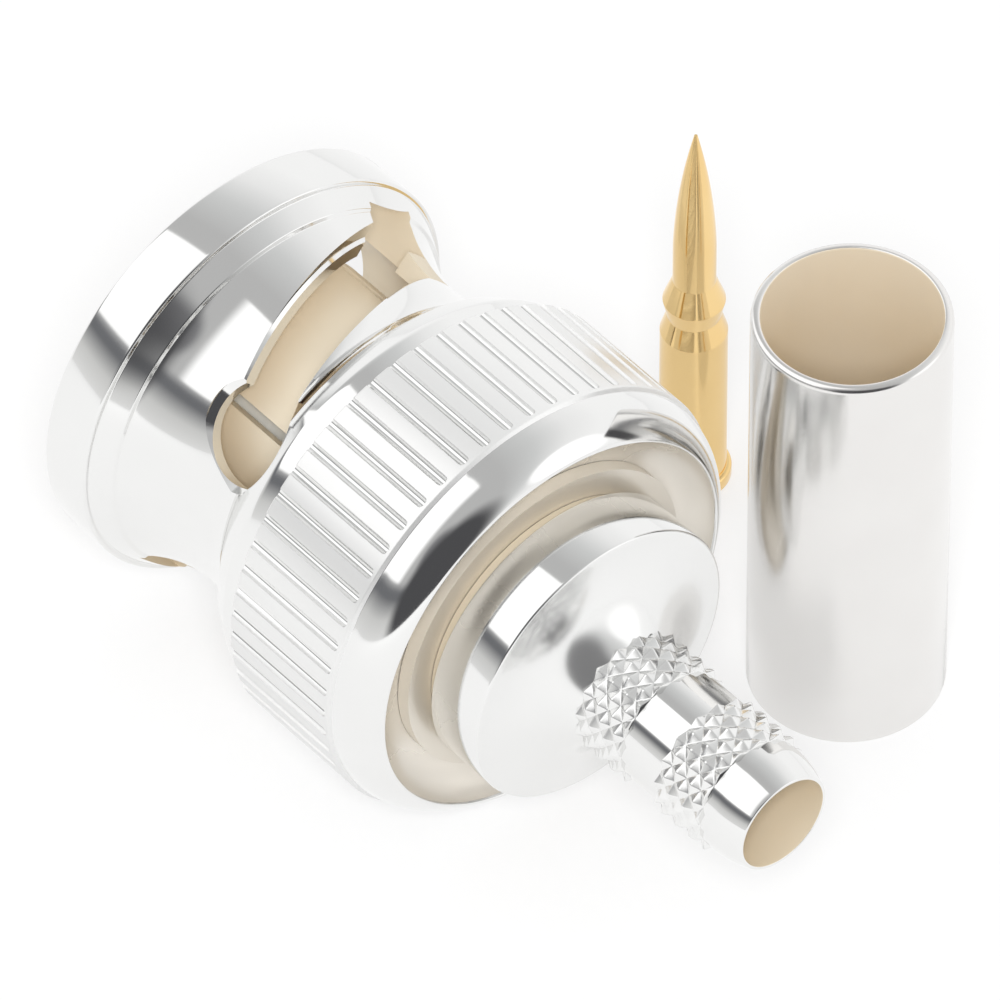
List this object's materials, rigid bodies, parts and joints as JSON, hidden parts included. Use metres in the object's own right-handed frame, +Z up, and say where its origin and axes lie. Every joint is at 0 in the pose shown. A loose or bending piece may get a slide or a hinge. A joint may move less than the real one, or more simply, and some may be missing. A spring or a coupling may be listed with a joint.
{
  "type": "bnc connector",
  "caption": "Crimp-type bayonet cable plug for coaxial cable, with its loose contact pin and crimp ferrule",
  "frame": {"origin": "centre of the outer contact's tip, on the plug's axis", "axes": "+X along the plug's axis, out of its mating end; +Z up, with the plug lying on its nut and the pin and ferrule standing"},
  "size_m": [0.0245, 0.0197, 0.0151],
  "materials": {
    "silver_plate": "bright silver plating on turned brass",
    "ferrule_silver": "bright silver plating on soft copper alloy tube",
    "gold_plate": "bright gold plating",
    "spring_metal": "bright spring strip",
    "ptfe": "waxy white fluoropolymer",
    "silicone": "soft silicone rubber"
  },
  "bodies": {
    "plug_body": {"front_body": "silver_plate", "front_insulator": "ptfe", "rear_insulator": "ptfe", "gasket": "silicone", "retaining_ring": "spring_metal", "rear_body": "silver_plate", "contact_pin": "gold_plate", "crimp_ferrule": "ferrule_silver", "front_wave_washer": "spring_metal", "rear_wave_washer": "spring_metal"},
    "spring_seat": {"thrust_washer": "spring_metal"},
    "bayonet_nut": {"coupling_nut": "silver_plate"}
  },
  "joints": [
    {"name": "nut_push", "type": "slide", "parent": "plug_body", "child": "spring_seat", "axis": [1, 0, 0], "range_m": [0, 0.0003], "stiffness_N_per_m": 5000, "springref_m": -0.0002, "deforming": ["front_wave_washer", "rear_wave_washer"]},
    {"name": "nut_turn", "type": "hinge", "parent": "spring_seat", "child": "bayonet_nut", "pos_m": [0, 0, 0], "axis": [1, 0, 0], "continuous": true}
  ]
}
